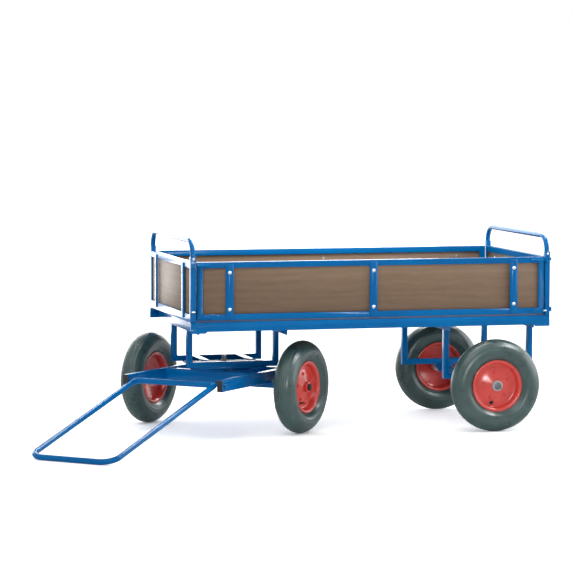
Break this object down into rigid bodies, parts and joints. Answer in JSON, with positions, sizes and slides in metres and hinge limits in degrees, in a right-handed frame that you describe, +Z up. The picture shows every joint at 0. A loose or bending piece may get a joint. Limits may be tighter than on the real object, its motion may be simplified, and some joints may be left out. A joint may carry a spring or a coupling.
{
  "type": "turntable trolley",
  "caption": "Hand-drawn platform trolley with boarded sides, a turntable-steered front axle and a tubular drawbar hoop.",
  "frame": {"origin": "on the floor under the middle of the parked trolley's bounding box, with the front axle turned left and the drawbar's loop on the floor", "axes": "+X forward along the deck, towards the drawbar end; +Y to the left, across the deck; +Z up, square to the deck board"},
  "size_m": [2.3469, 1.4847, 0.8525],
  "materials": {
    "blue_paint": "glossy powder coat",
    "red_paint": "semi-gloss paint",
    "film_faced_ply": "brown film-faced plywood",
    "tyre_rubber": "matt dark rubber",
    "zinc_steel": "zinc plated",
    "black_plastic": "matt"
  },
  "bodies": {
    "chassis": {"deck_board": "film_faced_ply", "side_angle_left": "blue_paint", "side_angle_right": "blue_paint", "cross_member_front_1": "blue_paint", "cross_member_front_2": "blue_paint", "cross_member_rear_1": "blue_paint", "cross_member_rear_2": "blue_paint", "end_frame_front": "blue_paint", "end_frame_rear": "blue_paint", "end_board_front": "film_faced_ply", "end_board_rear": "film_faced_ply", "hoop_front": "blue_paint", "hoop_rear": "blue_paint", "front_support_left": "blue_paint", "front_support_right": "blue_paint", "tie_flat_front": "blue_paint", "tie_flat_rear": "blue_paint", "turntable_top_plate": "blue_paint", "kingpin": "zinc_steel", "rear_support_left": "blue_paint", "rear_support_right": "blue_paint", "rear_axle": "blue_paint"},
    "side_left": {"side_frame_left": "blue_paint", "side_board_left": "film_faced_ply"},
    "side_right": {"side_frame_right": "blue_paint", "side_board_right": "film_faced_ply"},
    "steering": {"steering_member_left": "blue_paint", "steering_member_right": "blue_paint", "steering_tie_front": "blue_paint", "steering_tie_rear": "blue_paint", "end_plug_left": "black_plastic", "end_plug_right": "black_plastic", "front_axle": "blue_paint", "turntable_lower_plate": "blue_paint", "drawbar_pivot": "blue_paint"},
    "drawbar": {"drawbar": "blue_paint"},
    "wheel_front_left": {"tyre_front_left": "tyre_rubber", "rim_front_left": "red_paint"},
    "wheel_front_right": {"tyre_front_right": "tyre_rubber", "rim_front_right": "red_paint"},
    "wheel_rear_left": {"tyre_rear_left": "tyre_rubber", "rim_rear_left": "red_paint"},
    "wheel_rear_right": {"tyre_rear_right": "tyre_rubber", "rim_rear_right": "red_paint"}
  },
  "joints": [
    {"name": "steering_turn", "type": "hinge", "parent": "chassis", "child": "steering", "pos_m": [0.1885, -0.2922, 0.2745], "axis": [0, 0, 1], "range_deg": [-136.9, 43.1]},
    {"name": "drawbar_lift", "type": "hinge", "parent": "steering", "child": "drawbar", "pos_m": [0.47992, 0.01921, 0.2378], "axis": [0.7302, -0.6833, 0], "range_deg": [0, 94]},
    {"name": "side_left_lift", "type": "slide", "parent": "chassis", "child": "side_left", "axis": [0, 0, 1], "range_m": [0, 0.25]},
    {"name": "side_right_lift", "type": "slide", "parent": "chassis", "child": "side_right", "axis": [0, 0, 1], "range_m": [0, 0.25]},
    {"name": "wheel_rear_left_spin", "type": "hinge", "parent": "chassis", "child": "wheel_rear_left", "pos_m": [-0.9205, 0.1078, 0.2], "axis": [0, 1, 0], "continuous": true},
    {"name": "wheel_front_left_spin", "type": "hinge", "parent": "steering", "child": "wheel_front_left", "pos_m": [-0.08896, -0.03256, 0.2], "axis": [-0.7302, 0.6833, 0], "continuous": true},
    {"name": "wheel_rear_right_spin", "type": "hinge", "parent": "chassis", "child": "wheel_rear_right", "pos_m": [-0.9205, -0.6922, 0.2], "axis": [0, 1, 0], "continuous": true},
    {"name": "wheel_front_right_spin", "type": "hinge", "parent": "steering", "child": "wheel_front_right", "pos_m": [0.46596, -0.55184, 0.2], "axis": [-0.7302, 0.6833, 0], "continuous": true}
  ]
}
